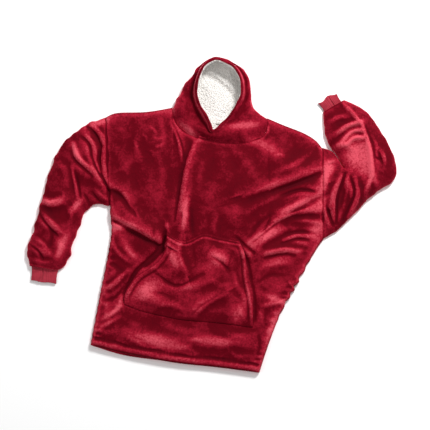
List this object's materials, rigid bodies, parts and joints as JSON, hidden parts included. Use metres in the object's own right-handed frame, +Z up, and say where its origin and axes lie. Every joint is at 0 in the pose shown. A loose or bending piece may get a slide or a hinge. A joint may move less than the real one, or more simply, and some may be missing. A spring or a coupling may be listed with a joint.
{
  "type": "wearable blanket hoodie",
  "caption": "Oversized hooded blanket top in flannel fleece with a sherpa-lined hood, a front pouch pocket and rib-knit cuffs, lying flat with one forearm folded up.",
  "frame": {"origin": "the middle of the back panel's flat underside, on the surface that the garment lies on", "axes": "+Z up from the surface through the front, +Y from the hem to the hood, +X across the garment towards the wearer's left sleeve"},
  "size_m": [1.235, 1.0829, 0.07],
  "materials": {
    "flannel": "brushed flannel fleece, deep wine red, with a pink sheen where it turns away from the eye",
    "rib_knit": "matt one by one rib knit, lighter red",
    "sherpa": "curly cream sherpa pile"
  },
  "bodies": {
    "root": {"front_panel": "flannel", "back_panel": "flannel", "right_sleeve": "flannel", "left_sleeve": "flannel", "right_cuff": "rib_knit", "left_cuff": "rib_knit", "hood_right_panel": "flannel", "hood_left_panel": "flannel", "hood_right_lining": "sherpa", "hood_left_lining": "sherpa", "back_neck_lining": "sherpa", "pocket": "flannel"}
  },
  "joints": []
}
